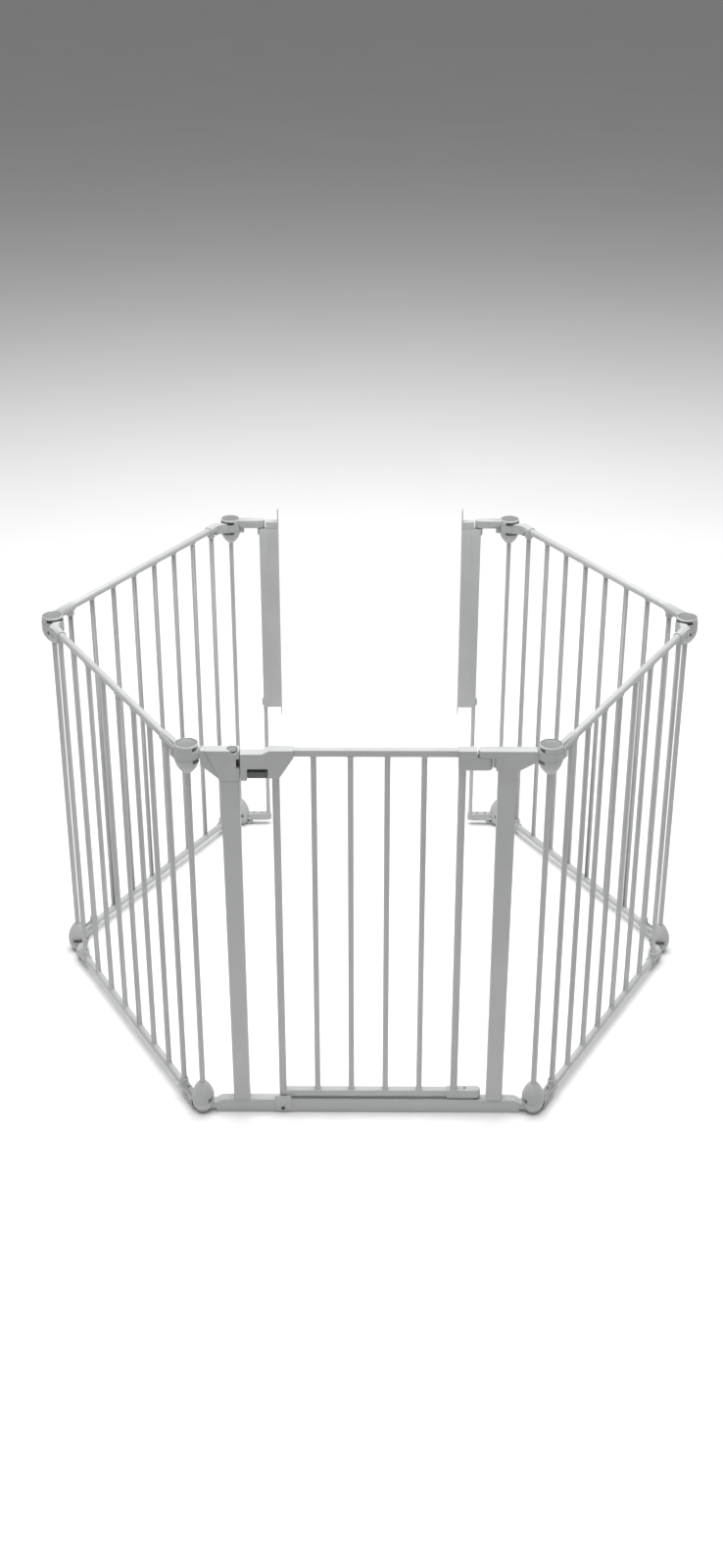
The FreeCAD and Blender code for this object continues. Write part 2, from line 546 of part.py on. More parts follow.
def hinge_pins():
    """Upper and lower hinge pins of the door."""
    upper = cylinder(PIN_R, UP_BLOCK[0] + 2.5, COVER_TOP_Z - 3.0, HINGE_X)
    lower = cylinder(PIN_R, THRESHOLD_H - PIN_HOLE_DEEP, LOW_BLOCK[1] - 4.0, HINGE_X)
    collar = cylinder(7.0, THRESHOLD_H, LOW_BLOCK[0] - SLOT_GAP, HINGE_X)
    return [upper, lower.fuse(collar).removeSplitter()]


# ---- door -----------------------------------------------------------------------------
def door_rails():
    """Top and bottom rails of the door, rounded box tubes."""
    wall = 1.5
    rails = []
    ends = (LATCH_STILE_X, HINGE_STILE_X)
    for (low, high), (x0, x1) in ((DOOR_RAIL_TOP, (HANDLE_X[1], HINGE_STILE_X - 7.0)),
                                  (DOOR_RAIL_LOW, ends)):
        rail = block(x0, x1, -DOOR_RAIL_HALF, DOOR_RAIL_HALF, low, high)
        rail = soften(rail, 2.5, lambda edge: along(edge, Vector(1, 0, 0)))
        core_half = DOOR_RAIL_HALF - wall
        rails.append(rail.cut(block(x0, x1, -core_half, core_half, low + wall, high - wall)))
    for x in ends:
        rails[1] = rails[1].cut(cylinder(DOOR_TUBE_R, DOOR_RAIL_LOW[0] - 1, DOOR_RAIL_LOW[1] + 1, x))
    rails[1] = rails[1].cut(block(LOW_BLOCK_X, HINGE_X, -FAR, FAR, LOW_BLOCK[0], LOW_BLOCK[1]))
    return rails


def door_stiles():
    """Upright tubes at both sides of the door; the drop bolt runs in the left one."""
    left = tube(DOOR_TUBE_R, 2.2, 31.5, HANDLE_LOW_Z, LATCH_STILE_X)
    right = tube(DOOR_TUBE_R, 1.5, LOW_BLOCK[1], UP_BLOCK[0], HINGE_STILE_X)
    return [left, right]


def door_bars():
    """The four thin bars of the door."""
    xs = [DOOR_MID_X + DOOR_BAR_PITCH * step for step in (-1.5, -0.5, 0.5, 1.5)]
    return [tube(BAR_R, BAR_WALL, DOOR_RAIL_LOW[1], DOOR_RAIL_TOP[0], x) for x in xs]


def latch_housing():
    """Hollow handle at the door's latch side, with a slot below for the trigger."""
    left, right = HANDLE_X
    step0, step1 = HANDLE_STEP_X
    shell = plate([(left, HANDLE_FOOT_Z), (HANDLE_FOOT_X, HANDLE_FOOT_Z), (HANDLE_FOOT_X, HANDLE_LOW_Z),
                   (HANDLE_ARM_X, HANDLE_LOW_Z), (right, DOOR_RAIL_TOP[0]), (right, HANDLE_TOP_Z),
                   (step1, HANDLE_TOP_Z), (step0, HANDLE_END_Z), (left, HANDLE_END_Z)],
                  -SECTION_HALF, SECTION_HALF)
    shell = soften(shell, 1.5, lambda edge: abs(abs(edge.CenterOfMass.y) - SECTION_HALF) < NEAR
                   and edge.CenterOfMass.z > DOOR_RAIL_TOP[0] + 3.0)
    gap, lift = 0.4, 6.0
    shell = shell.cut(block(TRIGGER_X[0] - gap, TRIGGER_X[1] + gap, -FAR, FAR,
                            HANDLE_LOW_Z - gap, TRIGGER_Z[1] + lift))
    shell = shell.cut(block(*HANDLE_ROOM_X, -7.5, 7.5, *HANDLE_ROOM_Z))
    shell = shell.cut(block(left - 1, HANDLE_ROOM_X[0] + 1, -BOLT_HALF - 0.5, BOLT_HALF + 0.5,
                            BOLT_Z[0] - 0.5, BOLT_Z[1] + 0.5))
    return shell.cut(block(LIFTER_X[0] - 2.0, LIFTER_X[1] + 2.0, -LIFTER_HALF - 1.0, LIFTER_HALF + 1.0,
                           TRIGGER_Z[1] + lift - gap, HANDLE_ROOM_Z[0] + gap))


def trigger():
    """Squeeze bar in the handle's underside, with the post that lifts the bolts."""
    half = SECTION_HALF + 0.6
    bar = block(*TRIGGER_X, -half, half, *TRIGGER_Z)
    bar = soften(bar, 1.5, lambda edge: not along(edge, Vector(0, 1, 0)))
    return bar.fuse(block(*LIFTER_X, -LIFTER_HALF, LIFTER_HALF, TRIGGER_Z[1], LIFTER_TOP_Z))


def latch_bolt():
    """Sliding bolt that leaves the handle's end and enters the latch notch."""
    nose = block(BOLT_X[0], BOLT_STEP_X, -BOLT_HALF, BOLT_HALF, *BOLT_Z)
    tail = block(BOLT_STEP_X, BOLT_X[1], -BOLT_HALF, BOLT_HALF, BOLT_TAIL_Z, BOLT_Z[1])
    return nose.fuse(tail).removeSplitter()


def drop_bolt():
    """Round bolt in the latch stile that drops into the threshold."""
    return cylinder(DROP_BOLT_R, THRESHOLD_H - DROP_BOLT_SUNK, DROP_BOLT_TOP_Z, LATCH_STILE_X)


def hinge_blocks():
    """Upper and lower plastic blocks that turn on the hinge pins."""
    half, low_half = 9.6, 8.0
    start, notch = HINGE_STILE_X - 7.0, HINGE_X - HOOK_REACH - 1.6
    upper = plate([(start, DOOR_RAIL_TOP[1]), (notch, DOOR_RAIL_TOP[1]), (notch, UP_BLOCK[1]),
                   (HINGE_X, UP_BLOCK[1]), (HINGE_X, UP_BLOCK[0]), (start, UP_BLOCK[0])], -half, half)
    upper = upper.fuse(cylinder(half, *UP_BLOCK, HINGE_X)).removeSplitter()
    upper = soften(upper, 2.5, lambda edge: abs(edge.CenterOfMass.z - UP_BLOCK[0]) < NEAR)
    lower = block(LOW_BLOCK_X, HINGE_X, -low_half, low_half, *LOW_BLOCK)
    lower = lower.fuse(cylinder(low_half, *LOW_BLOCK, HINGE_X)).removeSplitter()
    lower = soften(lower, 2.5, lambda edge: abs(edge.CenterOfMass.z - LOW_BLOCK[1]) < NEAR)
    lower = lower.cut(cylinder(RECESS_R, LOW_BLOCK[1] - RECESS_DEEP, LOW_BLOCK[1] + 1, 176.0))
    bore = cylinder(PIN_R + RUN_CLEAR, LOW_BLOCK[0] - 1, LOW_BLOCK[1] - 3.8, HINGE_X)
    high_bore = cylinder(PIN_R + RUN_CLEAR, UP_BLOCK[0] - 1, UP_BLOCK[1] + 1, HINGE_X)
    return [upper.cut(high_bore), lower.cut(bore)]


# ---- placing ---------------------------------------------------------------------------
def add(name, solids):
    """Records a node made of one or more separate solids."""
    for solid in solids:
        if not solid.isValid() or solid.Volume <= 0:
            print("check", name, "valid", solid.isValid(), "volume", solid.Volume)
    loose = [piece for solid in solids for piece in solid.Solids]
    parts[name] = loose[0] if len(loose) == 1 else Part.makeCompound(loose)


def place(solids, angle, origin, mirrored):
    """Copies of local solids, turned, moved to a knuckle and mirrored for the right side."""
    placed = []
    for solid in solids:
        copy = solid.copy()
        copy.rotate(Vector(0, 0, 0), Z, angle)
        copy.translate(Vector(origin[0], origin[1], 0))
        if mirrored:
            copy = copy.mirror(Vector(0, 0, 0), Vector(1, 0, 0))
        placed.append(copy)
    return placed


def knuckles():
    """Plan positions of the left-hand knuckles and the directions that leave them."""
    here = (-GATE_PITCH / 2.0, 0.0)
    angle = 180.0 - FRONT_TURN
    found = []
    for turn in (MIDDLE_TURN, angle - MIDDLE_TURN):
        found.append((here, angle))
        here = (here[0] + PANEL_PITCH * math.cos(math.radians(angle)),
                here[1] + PANEL_PITCH * math.sin(math.radians(angle)))
        angle -= turn
    found.append((here, angle))
    return found


def build_front():
    """Adds the front section and the door."""
    add("threshold", [threshold()])
    left = post()
    add("latch_post", [left])
    add("hinge_post", [left.mirror(Vector(0, 0, 0), Vector(1, 0, 0))])
    add("latch_post_cover", [latch_cover()])
    add("latch_side_lug", [latch_lug()])
    add("hinge_post_cover", [hinge_cover()])
    add("catch_plate", [catch_plate()])
    add("catch_screw", [catch_screw()])
    add("hinge_pins", hinge_pins())
    thumb_low = THUMB_WELL_Z + THUMB_TRAVEL + 0.8
    add("thumb_button", [cylinder(THUMB_R, thumb_low, COVER_TOP_Z - 1.2, THUMB_X, THUMB_Y)])
    add("door_rails", door_rails())
    add("door_stiles", door_stiles())
    add("door_bars", door_bars())
    add("latch_housing", [latch_housing()])
    add("door_hinge_blocks", hinge_blocks())
    add("trigger", [trigger()])
    add("latch_bolt", [latch_bolt()])
    add("drop_bolt", [drop_bolt()])


def build_sides():
    """Adds both chains of panels, wall arms and strips."""
    front, middle, back = knuckles()
    arm, strip = wall_arm(), wall_strip()
    for side, mirrored in (("left", False), ("right", True)):
        for row, (origin, angle), first_bar in (("front", front, FIRST_BAR_FRONT),
                                                ("rear", middle, FIRST_BAR_REAR)):
            for piece, solids in panel(first_bar).items():
                add(f"{side}_{row}_{piece}", place(solids, angle, origin, mirrored))
        for piece, solids in arm.items():
            add(f"{side}_wall_{piece}", place(solids, back[1], back[0], mirrored))
        for piece, solids in strip.items():
            add(f"{side}_wall_{piece}", place(solids, back[1], back[0], mirrored))


build_front()
build_sides()
os.makedirs("parts", exist_ok=True)
for name, shape in parts.items():
    shape.exportStep(f"parts/{name}.step")
print(len(parts), "nodes")
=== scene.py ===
"""A hearth gate for keeping a small child in or out: looks, light and camera.

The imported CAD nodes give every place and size. Each one gets a skin here: a cleaned copy with
eased edges, smooth shading and a finish named for its real material. Weld beads, screws,
buttons, grip ribs, the drop bolt's bush and the strips' beads are new pieces. Lengths are in
metres, and names that end in _mm are in millimetres.
"""

import json
import logging
import math
from dataclasses import dataclass, field
from enum import Enum
from typing import Callable, Iterable

import bmesh
import bpy
from mathutils import Matrix, Vector

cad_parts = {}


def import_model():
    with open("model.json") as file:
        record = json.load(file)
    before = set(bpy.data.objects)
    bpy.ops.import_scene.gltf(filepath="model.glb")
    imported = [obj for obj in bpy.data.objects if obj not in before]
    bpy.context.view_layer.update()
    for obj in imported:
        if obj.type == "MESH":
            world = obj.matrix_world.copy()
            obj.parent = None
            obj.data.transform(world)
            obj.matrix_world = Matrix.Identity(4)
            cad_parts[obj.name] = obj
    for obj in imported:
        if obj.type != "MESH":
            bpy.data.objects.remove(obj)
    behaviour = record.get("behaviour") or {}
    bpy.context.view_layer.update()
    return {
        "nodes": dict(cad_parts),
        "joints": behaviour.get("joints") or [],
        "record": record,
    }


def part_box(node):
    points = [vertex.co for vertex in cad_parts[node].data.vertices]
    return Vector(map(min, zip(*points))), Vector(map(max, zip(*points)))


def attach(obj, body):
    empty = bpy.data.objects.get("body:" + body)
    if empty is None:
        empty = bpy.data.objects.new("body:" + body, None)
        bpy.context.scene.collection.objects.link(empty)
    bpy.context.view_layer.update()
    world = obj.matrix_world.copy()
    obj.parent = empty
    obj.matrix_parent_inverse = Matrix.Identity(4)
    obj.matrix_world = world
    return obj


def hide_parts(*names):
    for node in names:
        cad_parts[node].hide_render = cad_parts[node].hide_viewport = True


LOG = logging.getLogger("hearth_gate")
MM = 0.001
TOUCH = 1e-6                # two places this close, in metres, are the same
DRAWN_STRETCH = 0.04        # drawn lines are 25 times as long as they are apart
MERGE_MM = 0.004            # loose CAD corners closer than this become one
FLAT_DEG = 0.4              # faces that turn less than this are one flat face
EASED_DEG = 40              # edges sharper than this are eased
SMOOTH_DEG = 32             # edges softer than this are shaded smooth


# ---- small tools ----------------------------------------------------------------------
def linear(code: str) -> tuple[float, float, float, float]:
    """Turns an sRGB hex colour into the linear values that shaders use.

    Args:
        code: Colour such as "#ADAFAE".

    Returns:
        Red, green, blue and alpha, linear.
    """
    parts = [int(code[place:place + 2], 16) / 255.0 for place in (1, 3, 5)]
    curve = [c / 12.92 if c <= 0.04045 else ((c + 0.055) / 1.055) ** 2.4 for c in parts]
    return (curve[0], curve[1], curve[2], 1.0)


def add_node(tree: bpy.types.NodeTree, kind: str, settings: dict, links: dict) -> bpy.types.Node:
    """Adds one node, with its settings and what feeds it.

    Args:
        tree: The material's node tree.
        kind: Blender's name of the node type.
        settings: Values by socket name, or by property name where there is no such socket.
        links: Output sockets by the name of the input that each feeds.

    Returns:
        The new node.
    """
    node = tree.nodes.new(kind)
    for name, value in settings.items():
        if name in node.inputs:
            node.inputs[name].default_value = value
        else:
            setattr(node, name, value)
    for name, socket in links.items():
        tree.links.new(socket, node.inputs[name])
    return node


def select_only(*objects: bpy.types.Object) -> None:
    """Deselects everything, then selects these objects; the first becomes active."""
    bpy.ops.object.select_all(action="DESELECT")
    for item in objects:
        item.select_set(True)
    bpy.context.view_layer.objects.active = objects[0]


def pick(piece: bpy.types.Object, mode: str, wanted: Callable[..., bool]) -> None:
    """In edit mode, selects the faces or edges that wanted() picks, and nothing else.

    Args:
        piece: The mesh object being edited.
        mode: "FACE" or "EDGE".
        wanted: Takes a bmesh face or edge and says whether to select it.
    """
    bpy.ops.mesh.select_mode(type=mode)
    bpy.ops.mesh.select_all(action="DESELECT")
    mesh = bmesh.from_edit_mesh(piece.data)
    for element in mesh.faces if mode == "FACE" else mesh.edges:
        if wanted(element):
            element.select_set(True)
    mesh.select_flush_mode()
    bmesh.update_edit_mesh(piece.data)


def settle(piece: bpy.types.Object) -> bpy.types.Object:
    """Puts an object's place and turn into its mesh, so that it sits at the origin."""
    select_only(piece)
    bpy.ops.object.transform_apply(location=True, rotation=True, scale=True)
    return piece


def joined(name: str, pieces: list[bpy.types.Object]) -> bpy.types.Object:
    """Joins several settled objects into one named piece."""
    select_only(*pieces)
    if len(pieces) > 1:
        bpy.ops.object.join()
    whole = bpy.context.view_layer.objects.active
    whole.name = name
    whole.data.name = name
    return settle(whole)


def twin(piece: bpy.types.Object, place: Matrix) -> bpy.types.Object:
    """Copy of a settled piece, with a mesh of its own, moved by a matrix."""
    copy = piece.copy()
    copy.data = piece.data.copy()
    bpy.context.scene.collection.objects.link(copy)
    copy.data.transform(place)
    return copy


# ---- finishes -------------------------------------------------------------------------
class Grain(Enum):
    """How the surface was made."""

    ORANGE_PEEL = "orange peel"
    SPARK = "spark-eroded mould"
    DRAWN = "drawn wire"


@dataclass(frozen=True)
class Finish:
    """One finish, from its real material.

    Attributes:
        name: What the material is.
        slot: The record's material slot it dresses.
        light: Colour of its brighter patches.
        deep: Colour of its duller patches.
        roughness: Middle of its roughness.
        spread: How far roughness varies either way.
        ior: Index of refraction; a metal keeps 1.5.
        metallic: 1 for bare metal.
        coat: Clear layer's weight.
        grain: Kind of fine texture.
        grain_mm: Distance from one grain to the next.
        depth_mm: Height of the grain.
        mottle_mm: Size of the wide, faint patches of colour.
    """

    name: str
    slot: str
    light: str
    deep: str
    roughness: float
    spread: float
    ior: float
    metallic: float
    coat: float
    grain: Grain
    grain_mm: float
    depth_mm: float
    mottle_mm: float

    def build(self) -> bpy.types.Material:
        """Makes the node material.

        Returns:
            The material, which reads Object coordinates only.
        """
        material = bpy.data.materials.new(self.name)
        material.use_nodes = True
        tree = material.node_tree
        tree.nodes.clear()
        place = add_node(tree, "ShaderNodeTexCoord", {}, {}).outputs["Object"]
        mottle = add_node(tree, "ShaderNodeTexNoise",
                          {"Scale": 1.0 / (self.mottle_mm * MM), "Detail": 3.0, "Roughness": 0.55},
                          {"Vector": place})
        ramp = add_node(tree, "ShaderNodeValToRGB", {}, {"Fac": mottle.outputs["Fac"]})
        ramp.color_ramp.elements[0].position = 0.32
        ramp.color_ramp.elements[0].color = linear(self.deep)
        ramp.color_ramp.elements[1].position = 0.62
        ramp.color_ramp.elements[1].color = linear(self.light)
        height = self.grain_height(tree, place)
        bump = add_node(tree, "ShaderNodeBump",
                        {"Strength": 1.0, "Distance": self.depth_mm * MM}, {"Height": height})
        sheen = add_node(tree, "ShaderNodeMapRange",
                         {"To Min": self.roughness - self.spread,
                          "To Max": self.roughness + self.spread},
                         {"Value": mottle.outputs["Fac"]})
        shader = add_node(tree, "ShaderNodeBsdfPrincipled",
                          {"IOR": self.ior, "Metallic": self.metallic, "Coat Weight": self.coat,
                           "Coat Roughness": 0.3},
                          {"Base Color": ramp.outputs["Color"],
                           "Roughness": sheen.outputs["Result"],
                           "Normal": bump.outputs["Normal"]})
        add_node(tree, "ShaderNodeOutputMaterial", {}, {"Surface": shader.outputs["BSDF"]})
        return material

    def grain_height(self, tree: bpy.types.NodeTree,
                     place: bpy.types.NodeSocket) -> bpy.types.NodeSocket:
        """Adds the fine texture and returns the socket with its height.

        Args:
            tree: The material's node tree.
            place: Object coordinates.

        Returns:
            Height, from 0 to 1.
        """
        scale = 1.0 / (self.grain_mm * MM)
        if self.grain is Grain.SPARK:
            pits = add_node(tree, "ShaderNodeTexVoronoi",
                            {"feature": "SMOOTH_F1", "Scale": scale, "Smoothness": 0.6},
                            {"Vector": place})
            return pits.outputs["Distance"]
        if self.grain is Grain.DRAWN:
            stretch = add_node(tree, "ShaderNodeMapping", {"Scale": (1.0, 1.0, DRAWN_STRETCH)},
                               {"Vector": place})
            place = stretch.outputs["Vector"]
        waves = add_node(tree, "ShaderNodeTexNoise",
                         {"Scale": scale, "Detail": 2.0, "Roughness": 0.5}, {"Vector": place})
        return waves.outputs["Fac"]


# Polyester powder coat on steel tube: even, half matt, with a faint orange peel. Its waves are
# about 1.5 mm apart; they are drawn at 3 mm, because finer ones don't show.
POWDER_COAT = Finish("satin_polyester_powder_coat", "painted_steel", "#B9BBBA", "#B2B4B3",
                     0.42, 0.05, 1.5, 0.0, 0.10, Grain.ORANGE_PEEL, 3.0, 0.05, 120.0)
# Moulded polypropylene: a spark-eroded mould leaves pits about 0.3 mm apart, drawn at 1.2 mm.
POLYPROPYLENE = Finish("spark_textured_polypropylene", "grey_plastic", "#B6B8B7", "#AFB1B0",
                       0.52, 0.05, 1.49, 0.0, 0.0, Grain.SPARK, 1.2, 0.06, 60.0)
# Moulded ABS of the release buttons, a shade darker and a little smoother.
ABS_GREY = Finish("moulded_grey_abs", "button_plastic", "#7F8180", "#7A7C7B", 0.45, 0.05,
                  1.53, 0.0, 0.0, Grain.SPARK, 1.4, 0.04, 40.0)
# Glass-filled nylon of the trigger: dark grey, dry to the touch.
NYLON_DARK = Finish("glass_filled_nylon", "trigger_plastic", "#5E6160", "#565957", 0.58, 0.06,
                    1.53, 0.0, 0.0, Grain.SPARK, 1.0, 0.08, 25.0)
# Black zinc-plated steel of pins, bolts and screws, with faint lines from drawing the wire. Its
# near-black colour is partly the metal's own and partly painted shade: on the sunk socket screws it
# darkens their holes.
BLACK_ZINC_AND_HOLE_SHADE = Finish("black_zinc_and_painted_hole_shade", "plated_steel", "#3A3C3C", "#313333", 0.42, 0.08,
                    1.5, 0.35, 0.0, Grain.DRAWN, 0.8, 0.02, 12.0)
FINISHES = (POWDER_COAT, POLYPROPYLENE, ABS_GREY, NYLON_DARK, BLACK_ZINC_AND_HOLE_SHADE)


@dataclass
class Wardrobe:
    """Every finish, made once, and the way a piece is dressed in one."""

    made: dict = field(default_factory=dict)

    def open(self) -> None:
        """Builds all finishes."""
        for finish in FINISHES:
            self.made[finish.slot] = finish.build()

    def dress(self, piece: bpy.types.Object, slot: str) -> None:
        """Gives a piece one finish all over and names its slot.

        Args:
            piece: The mesh object.
            slot: The record's material slot.
        """
        piece.data.materials.clear()
        piece.data.materials.append(self.made[slot])


# ---- skins over the CAD nodes ------------------------------------------------------------
@dataclass(frozen=True)
class Ease:
    """How a skin's edges are eased: the round's width and the steps across it."""

    width_mm: float
    steps: int = 2


SHARP = Ease(0.0, 0)
EASES = (
    (("_post", "threshold", "_rails"), Ease(0.35)),
    (("_cover", "_lug", "latch_housing", "hinge_blocks", "trigger", "thumb_button"), Ease(0.5, 3)),
    (("_strip", "_brackets", "catch_plate"), Ease(0.3)),
)


@dataclass
class Skins:
    """A cleaned, smooth copy for every CAD node but the buttons, which are turned anew.

    Attributes:
        nodes: CAD objects by node name.
        bodies: Body name by node name.
        slots: Material slot by node name.
        wardrobe: The finishes.
    """

    nodes: dict
    bodies: dict
    slots: dict
    wardrobe: Wardrobe

    def build(self) -> None:
        """Makes a skin for every node."""
        for name in sorted(self.nodes):
            if not name.endswith("_button"):
                self.skin(name)

    def ease_of(self, name: str) -> Ease:
        """The edge round that suits a node."""
        for endings, ease in EASES:
            if name.endswith(endings):
                return ease
        return SHARP

    def skin(self, name: str) -> bpy.types.Object:
        """Copies one node, merges its loose triangles and eases its edges.

        Args:
            name: The CAD node's name.

        Returns:
            The finished piece.
        """
        source = self.nodes[name]
        piece = source.copy()
        piece.data = source.data.copy()
        piece.parent = None
        piece.name = f"{name}_skin"
        for key in list(piece.keys()):
            del piece[key]
        bpy.context.scene.collection.objects.link(piece)
        select_only(piece)
        bpy.ops.object.mode_set(mode="EDIT")
        bpy.ops.mesh.select_all(action="SELECT")
        bpy.ops.mesh.remove_doubles(threshold=MERGE_MM * MM)
        bpy.ops.mesh.dissolve_limited(angle_limit=math.radians(FLAT_DEG), delimit={"NORMAL"})
        bpy.ops.object.mode_set(mode="OBJECT")
        ease = self.ease_of(name)
        if ease.steps:
            bevel = piece.modifiers.new("eased_edges", "BEVEL")
            bevel.width = ease.width_mm * MM
            bevel.segments = ease.steps
            bevel.limit_method = "ANGLE"
            bevel.angle_limit = math.radians(EASED_DEG)
            bpy.ops.object.modifier_apply(modifier=bevel.name)
        bpy.ops.object.shade_smooth_by_angle(angle=math.radians(SMOOTH_DEG))
        self.wardrobe.dress(piece, self.slots[name])
        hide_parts(name)
        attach(piece, self.bodies[name])
        LOG.info("skin %s: %d faces", piece.name, len(piece.data.polygons))
        return piece


# ---- where the sections stand ----------------------------------------------------------
@dataclass(frozen=True)
class Section:
    """Plan frame of one section, from its knuckle axis to the next axis.

    Attributes:
        name: Start of its nodes' names, such as "left_front".
        body: The CAD body that its pieces ride on.
        start: Its own knuckle axis, on the floor.
        stop: The next axis.
        outward: Unit vector that points out of the pen.
    """

    name: str
    body: str
    start: Vector
    stop: Vector
    outward: Vector

    @property
    def along(self) -> Vector:
        """Unit vector from the own axis to the next one."""
        return (self.stop - self.start).normalized()

    def point(self, along_mm: float, outward_mm: float, height_mm: float) -> Vector:
        """A place given along the section, outward from its line, and up."""
        place = self.start + self.along * (along_mm * MM) + self.outward * (outward_mm * MM)
        return Vector((place.x, place.y, height_mm * MM))


def flat(place: Iterable[float]) -> Vector:
    """A joint's place, put on the floor."""
    x, y, _ = place
    return Vector((x, y, 0.0))


def sections(joints: list) -> list[Section]:
    """Reads the six jointed sections from the joints.

    Args:
        joints: The frame's joints.

    Returns:
        Two barred panels and a wall arm on each side.
    """
    axis = {joint["name"]: flat(joint["pos_m"]) for joint in joints if joint["type"] == "hinge"}
    found = []
    for side in ("left", "right"):
        stops = [axis[f"{side}_{part}"] for part in
                 ("front_hinge", "rear_hinge", "wall_hinge", "strip_turn")]
        names = (("front", "front_panel"), ("rear", "rear_panel"), ("wall", "wall_arm"))
        for (part, body), start, stop in zip(names, stops, stops[1:]):
            run = (stop - start).normalized()
            outward = Vector((-run.y, run.x, 0.0)) * (1.0 if side == "left" else -1.0)
            found.append(Section(f"{side}_{part}", f"{side}_{body}", start, stop, outward))
    return found


def loose_boxes(piece: bpy.types.Object) -> list[tuple[Vector, Vector]]:
    """The box of each separate shell in a settled piece.

    Args:
        piece: A mesh object at the origin.

    Returns:
        Lowest and highest corner of each shell.
    """
    mesh = bmesh.new()
    mesh.from_mesh(piece.data)
    waiting = set(mesh.verts)
    boxes = []
    while waiting:
        shell, queue = [], [waiting.pop()]
        while queue:
            vert = queue.pop()
            shell.append(vert.co.copy())
            for edge in vert.link_edges:
                other = edge.other_vert(vert)
                if other in waiting:
                    waiting.remove(other)
                    queue.append(other)
        low = Vector(min(co[i] for co in shell) for i in range(3))
        high = Vector(max(co[i] for co in shell) for i in range(3))
        boxes.append((low, high))
    mesh.free()
    return boxes


# ---- added detail -------------------------------------------------------------------------
@dataclass
class WeldBeads:
    """Small flared beads where the bars are welded to their rails.

    Attributes:
        wardrobe: The finishes.
        bar_r_mm: Radius of the bars.
        reach_mm: How far a bead climbs the bar.
        flare: How much wider it is at the rail.
        collar_mm: Height of the straight part that sinks into the rail.
    """

    wardrobe: Wardrobe
    bar_r_mm: float = 4.9
    reach_mm: float = 2.6
    flare: float = 1.28
    collar_mm: float = 1.2

    def pattern(self) -> bpy.types.Object:
        """One bead at the origin, wide end up."""
        bpy.ops.object.select_all(action="DESELECT")
        bpy.ops.mesh.primitive_cylinder_add(vertices=24, radius=(self.bar_r_mm + 0.05) * MM,
                                            depth=self.reach_mm * MM,
                                            location=(0, 0, -0.5 * self.reach_mm * MM))
        bead = settle(bpy.context.active_object)
        bpy.ops.object.mode_set(mode="EDIT")
        pick(bead, "FACE", lambda face: face.normal.z > 0.9)
        bpy.ops.transform.resize(value=(self.flare, self.flare, 1.0))
        bpy.ops.mesh.extrude_region_move(
            TRANSFORM_OT_translate={"value": (0, 0, self.collar_mm * MM)})
        pick(bead, "EDGE", lambda edge: all(abs(vert.co.z) < TOUCH for vert in edge.verts))
        bpy.ops.mesh.bevel(offset=0.8 * MM, segments=3, affect="EDGES")
        bpy.ops.object.mode_set(mode="OBJECT")
        bpy.ops.object.shade_smooth()
        return bead

    def build(self, bars: bpy.types.Object, name: str, body: str, welded: slice) -> None:
        """Puts a bead at both ends of each welded bar.

        Args:
            bars: Skin with the bars as separate shells.
            name: Name of the joined piece.
            body: CAD body it rides on.
            welded: Which bars, counted along the section.
        """
        least = 2 * (self.bar_r_mm - 0.4) * MM
        outer = [box for box in loose_boxes(bars) if box[1].x - box[0].x > least]
        outer.sort(key=lambda box: (round(box[0].x, 4), box[0].y))
        pattern = self.pattern()
        beads = []
        sink = self.collar_mm * MM
        for low, high in outer[welded]:
            x, y = (low.x + high.x) / 2, (low.y + high.y) / 2
            beads.append(twin(pattern, Matrix.Translation((x, y, high.z - sink))))
            lower = Matrix.Translation((x, y, low.z + sink))
            beads.append(twin(pattern, lower @ Matrix.Rotation(math.pi, 4, "X")))
        bpy.data.objects.remove(pattern)
        piece = joined(name, beads)
        self.wardrobe.dress(piece, "painted_steel")
        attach(piece, body)
        LOG.info("welds %s: %d beads", name, len(beads))


